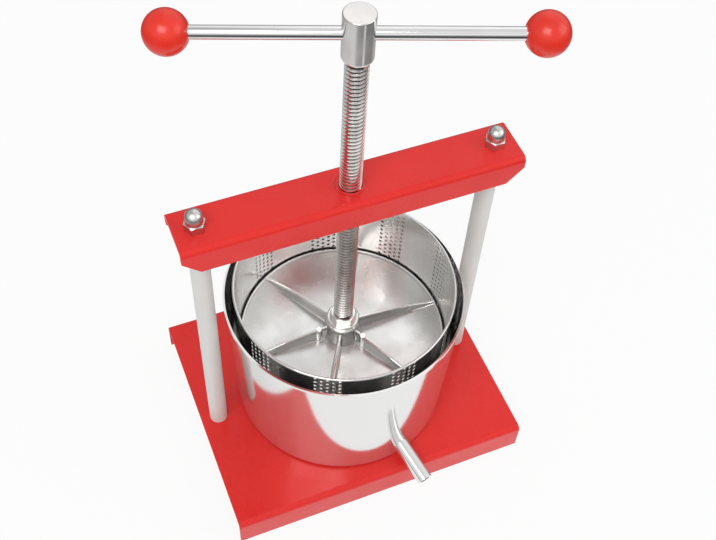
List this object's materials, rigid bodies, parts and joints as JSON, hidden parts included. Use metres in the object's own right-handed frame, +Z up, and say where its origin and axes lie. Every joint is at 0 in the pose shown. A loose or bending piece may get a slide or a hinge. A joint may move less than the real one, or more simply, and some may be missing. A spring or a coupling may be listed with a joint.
{
  "type": "fruit_press",
  "caption": "Bench fruit press: red steel frame, central screw with T-handle and ball knobs, ribbed press plate, perforated basket in a polished pot with a spout",
  "frame": {"origin": "on the table under the screw's axis, in the middle of the base's footprint", "axes": "+X along the crossbar to the right of a person at the spout, +Y to the back, +Z up along the screw"},
  "size_m": [0.32, 0.2841, 0.55],
  "materials": {
    "red_paint": "glossy powder coat",
    "grey_paint": "satin",
    "plain_steel": "zinc plated",
    "bright_metal": "bright plated",
    "cast_aluminium": "polished casting",
    "screw_steel": "turned",
    "red_plastic": "glossy",
    "polished_steel": "polished"
  },
  "bodies": {
    "frame": {"base": "red_paint", "crossbar": "red_paint", "screw_bush": "red_paint", "post_left": "grey_paint", "post_right": "grey_paint", "tie_rod_left": "plain_steel", "tie_rod_right": "plain_steel", "cap_nut_left": "bright_metal", "cap_nut_right": "bright_metal", "base_washer_left": "plain_steel", "base_washer_right": "plain_steel", "base_nut_left": "plain_steel", "base_nut_right": "plain_steel"},
    "plate": {"press_plate": "cast_aluminium", "thrust_washer": "bright_metal", "retaining_washer": "plain_steel"},
    "screw": {"screw": "screw_steel", "thrust_nut": "bright_metal", "retaining_nut": "plain_steel", "screw_head": "screw_steel"},
    "handle": {"handle_bar": "bright_metal", "knob_left": "red_plastic", "knob_right": "red_plastic"},
    "pot": {"pot_wall": "polished_steel", "pot_floor": "polished_steel", "spout": "polished_steel", "basket_wall": "polished_steel", "basket_rim": "polished_steel", "basket_floor": "polished_steel"}
  },
  "joints": [
    {"name": "plate_slide", "type": "slide", "parent": "frame", "child": "plate", "axis": [0, 0, 1], "range_m": [-0.075, 0.16]},
    {"name": "screw_turn", "type": "hinge", "parent": "plate", "child": "screw", "pos_m": [0, 0, 0.2], "axis": [0, 0, 1], "range_deg": [-6378, 13606.3]},
    {"name": "handle_slide", "type": "slide", "parent": "screw", "child": "handle", "axis": [0.9421, -0.3355, 0], "range_m": [-0.1, 0.1]},
    {"name": "pot_swivel", "type": "hinge", "parent": "frame", "child": "pot", "pos_m": [0, 0, 0.036], "axis": [0, 0, 1], "range_deg": [-55, 55]}
  ],
  "couplings": [
    {"joint": "plate_slide", "follows": "screw_turn", "m_per_rad": 0.00067376}
  ]
}
